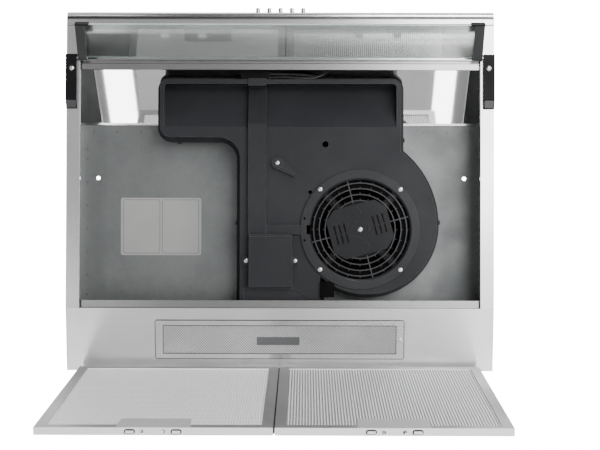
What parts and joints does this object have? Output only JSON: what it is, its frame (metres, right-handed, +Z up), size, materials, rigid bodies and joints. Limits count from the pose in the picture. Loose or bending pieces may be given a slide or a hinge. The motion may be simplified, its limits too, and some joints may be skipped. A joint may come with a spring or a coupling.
{
  "type": "range hood",
  "caption": "Slim under-cabinet range hood with swing-out glass visor, push buttons, centrifugal blower, round top outlet and removable grease filters shown swung out.",
  "frame": {"origin": "midway between the two cabinet screw holes, on top of the roof plate", "axes": "+Z up as the hood hangs under a cabinet, -Y towards the front with the buttons, +Y towards the wall, +X to the right seen from the front"},
  "size_m": [0.6, 0.5562, 0.4638],
  "materials": {
    "stainless": "brushed",
    "polished_steel": "bright",
    "zinc_plate": "zinc plated, satin",
    "screw_steel": "bright",
    "button_chrome": "polished",
    "casing_plastic": "fine satin",
    "black_plastic": "satin",
    "arm_plastic": "satin",
    "visor_glass": "clear with a green edge",
    "lens_plastic": "prismatic, frosted",
    "filter_aluminium": "satin",
    "filter_mesh": "woven",
    "motor_metal": "satin",
    "shaft_steel": "ground",
    "white_plastic": "glazed",
    "cable_rubber": "satin",
    "white_enamel": "enamel",
    "bulb_glass": "frosted"
  },
  "bodies": {
    "hood": {"front_panel": "stainless", "visor_bay_panel": "polished_steel", "left_side_panel": "stainless", "right_side_panel": "stainless", "rear_panel": "zinc_plate", "lamp_panel": "stainless", "roof_plate": "zinc_plate", "front_rail": "stainless", "rear_rail": "stainless", "pan_screws": "screw_steel", "visor_bracket_left": "black_plastic", "visor_bracket_right": "black_plastic", "lower_casing": "casing_plastic", "upper_casing": "casing_plastic", "casing_clips": "casing_plastic", "inlet_ring": "casing_plastic", "inlet_grille": "casing_plastic", "motor_plate": "casing_plastic", "motor": "motor_metal", "duct_cover": "casing_plastic", "junction_cover": "casing_plastic", "capacitor": "white_plastic", "terminal_block": "white_plastic", "harness_connector": "black_plastic", "harness_cables": "cable_rubber", "cable_clamp": "black_plastic", "mains_gland": "black_plastic", "outlet_collar": "black_plastic", "switch_block": "black_plastic", "lamp_frame": "stainless", "lamp_lens": "lens_plastic", "lamp_box": "white_enamel", "lamp_holder": "white_plastic", "lamp_bulb": "bulb_glass"},
    "visor": {"visor_glass": "visor_glass", "visor_arm_left": "arm_plastic", "visor_arm_right": "arm_plastic", "visor_pins": "shaft_steel"},
    "fan": {"fan_wheel": "black_plastic", "motor_shaft": "shaft_steel"},
    "selector": {"selector_lever": "casing_plastic", "lever_screw": "screw_steel", "selector_shutter": "black_plastic"},
    "front_flap": {"front_backdraft_flap": "black_plastic"},
    "rear_flap": {"rear_backdraft_flap": "black_plastic"},
    "off_button": {"button_off": "button_chrome"},
    "speed_1_button": {"button_speed_1": "button_chrome"},
    "speed_2_button": {"button_speed_2": "button_chrome"},
    "speed_3_button": {"button_speed_3": "button_chrome"},
    "light_button": {"button_light": "button_chrome"},
    "left_filter": {"left_filter_frame": "filter_aluminium", "left_filter_mesh": "filter_mesh", "left_latch_plate": "filter_aluminium", "left_latch_screws": "screw_steel"},
    "left_latch": {"left_latch_slide": "filter_aluminium"},
    "right_filter": {"right_filter_frame": "filter_aluminium", "right_filter_mesh": "filter_mesh", "right_latch_plate": "filter_aluminium", "right_latch_screws": "screw_steel"},
    "right_latch": {"right_latch_slide": "filter_aluminium"}
  },
  "joints": [
    {"name": "visor_hinge", "type": "hinge", "parent": "hood", "child": "visor", "pos_m": [0, -0.1645, -0.0986], "axis": [1, 0, 0], "range_deg": [-34.5, 35]},
    {"name": "fan_spin", "type": "hinge", "parent": "hood", "child": "fan", "pos_m": [0.1135, 0.0755, -0.03], "axis": [0, 0, 1], "continuous": true},
    {"name": "selector_turn", "type": "hinge", "parent": "hood", "child": "selector", "pos_m": [-0.004, -0.01852, -0.04], "axis": [0, 0, 1], "range_deg": [-90, 0]},
    {"name": "front_flap_hinge", "type": "hinge", "parent": "hood", "child": "front_flap", "pos_m": [-0.004, -0.01852, 0.014], "axis": [1, 0, 0], "range_deg": [-75, 0]},
    {"name": "rear_flap_hinge", "type": "hinge", "parent": "hood", "child": "rear_flap", "pos_m": [-0.004, -0.01852, 0.014], "axis": [1, 0, 0], "range_deg": [0, 75]},
    {"name": "off_button_press", "type": "slide", "parent": "hood", "child": "off_button", "axis": [0, 1, 0], "range_m": [0, 0.003], "stiffness_N_per_m": 400},
    {"name": "speed_1_button_press", "type": "slide", "parent": "hood", "child": "speed_1_button", "axis": [0, 1, 0], "range_m": [0, 0.003], "stiffness_N_per_m": 400},
    {"name": "speed_2_button_press", "type": "slide", "parent": "hood", "child": "speed_2_button", "axis": [0, 1, 0], "range_m": [0, 0.003], "stiffness_N_per_m": 400},
    {"name": "speed_3_button_press", "type": "slide", "parent": "hood", "child": "speed_3_button", "axis": [0, 1, 0], "range_m": [0, 0.003], "stiffness_N_per_m": 400},
    {"name": "light_button_press", "type": "slide", "parent": "hood", "child": "light_button", "axis": [0, 1, 0], "range_m": [0, 0.003], "stiffness_N_per_m": 400},
    {"name": "left_filter_swing", "type": "hinge", "parent": "hood", "child": "left_filter", "pos_m": [0, 0.2275, -0.0499], "axis": [1, 0, 0], "range_deg": [-97, 0]},
    {"name": "left_latch_slide", "type": "slide", "parent": "left_filter", "child": "left_latch", "axis": [0, -0.1219, 0.9925], "range_m": [0, 0.004], "stiffness_N_per_m": 400},
    {"name": "right_filter_swing", "type": "hinge", "parent": "hood", "child": "right_filter", "pos_m": [0, 0.2275, -0.0499], "axis": [1, 0, 0], "range_deg": [-97, 0]},
    {"name": "right_latch_slide", "type": "slide", "parent": "right_filter", "child": "right_latch", "axis": [0, -0.1219, 0.9925], "range_m": [0, 0.004], "stiffness_N_per_m": 400}
  ]
}
